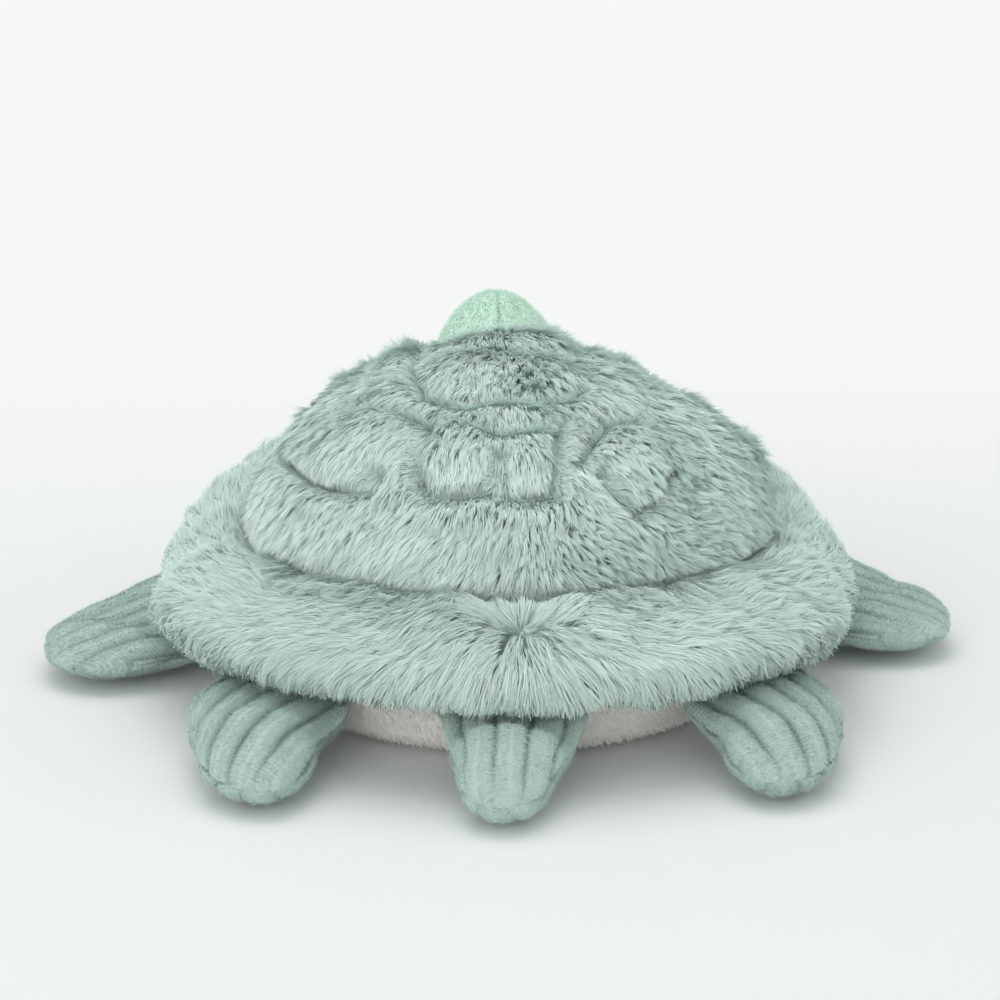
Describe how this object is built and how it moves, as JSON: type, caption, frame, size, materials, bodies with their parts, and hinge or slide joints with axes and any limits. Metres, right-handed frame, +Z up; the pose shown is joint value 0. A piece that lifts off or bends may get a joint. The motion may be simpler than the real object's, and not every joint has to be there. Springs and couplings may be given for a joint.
{
  "type": "plush turtle",
  "caption": "Plush turtle lying on its belly, with a quilted long-fur shell and fur rim, corduroy-ribbed flippers, feet and tail, and a smooth mint head.",
  "frame": {"origin": "middle of the flat underside of the belly, where the toy rests", "axes": "+Y from the tail towards the head, +Z up, +X towards the toy's right side, which is the picture's right"},
  "size_m": [0.3192, 0.3395, 0.1204],
  "materials": {
    "sage_fur": "long-pile fake fur, sage grey-green with paler tips",
    "ribbed_plush": "short-pile ribbed plush, worn pale on the crests",
    "cream_plush": "short-pile plush, warm off-white",
    "mint_plush": "short-pile plush, mint",
    "fibre_fill": "loose polyester fibre filling",
    "eye_black": "polished",
    "washer_plastic": "moulded"
  },
  "bodies": {
    "body": {"shell_panel_left": "sage_fur", "shell_panel_right": "sage_fur", "body_stuffing": "fibre_fill", "rim_cover_left": "sage_fur", "rim_cover_right": "sage_fur", "rim_stuffing": "fibre_fill", "belly_panel": "cream_plush"},
    "head": {"head_panel_left": "mint_plush", "head_panel_right": "mint_plush", "head_stuffing": "fibre_fill", "eye_left": "eye_black", "eye_right": "eye_black", "eye_washer_left": "washer_plastic", "eye_washer_right": "washer_plastic"},
    "front_flipper_left": {"front_flipper_left_top": "ribbed_plush", "front_flipper_left_under": "ribbed_plush", "front_flipper_left_stuffing": "fibre_fill"},
    "front_flipper_right": {"front_flipper_right_top": "ribbed_plush", "front_flipper_right_under": "ribbed_plush", "front_flipper_right_stuffing": "fibre_fill"},
    "hind_foot_left": {"hind_foot_left_top": "ribbed_plush", "hind_foot_left_under": "ribbed_plush", "hind_foot_left_stuffing": "fibre_fill"},
    "hind_foot_right": {"hind_foot_right_top": "ribbed_plush", "hind_foot_right_under": "ribbed_plush", "hind_foot_right_stuffing": "fibre_fill"},
    "tail": {"tail_top": "ribbed_plush", "tail_under": "ribbed_plush", "tail_stuffing": "fibre_fill"}
  },
  "joints": [
    {"name": "front_flipper_left_flex", "type": "hinge", "parent": "body", "child": "front_flipper_left", "pos_m": [-0.08081, 0.03682, 0.02223], "axis": [0.4147, 0.91, 0], "range_deg": [-20, 10]},
    {"name": "front_flipper_right_flex", "type": "hinge", "parent": "body", "child": "front_flipper_right", "pos_m": [0.07274, 0.05093, 0.02694], "axis": [0.5736, -0.8192, 0], "range_deg": [-20, 10]},
    {"name": "hind_foot_left_flex", "type": "hinge", "parent": "body", "child": "hind_foot_left", "pos_m": [-0.06547, -0.05999, 0.02227], "axis": [-0.6756, 0.7373, 0], "range_deg": [-25, 6]},
    {"name": "hind_foot_right_flex", "type": "hinge", "parent": "body", "child": "hind_foot_right", "pos_m": [0.07092, -0.05344, 0.02155], "axis": [-0.6018, -0.7986, 0], "range_deg": [-25, 6]},
    {"name": "tail_flex", "type": "hinge", "parent": "body", "child": "tail", "pos_m": [0.00248, -0.08876, 0.024], "axis": [-0.9996, -0.0279, 0], "range_deg": [-25, 5]},
    {"name": "head_nod", "type": "hinge", "parent": "body", "child": "head", "pos_m": [0, 0.1028, 0.018], "axis": [1, 0, 0], "range_deg": [-15, 6], "stiffness_Nm_per_rad": 0.35}
  ]
}
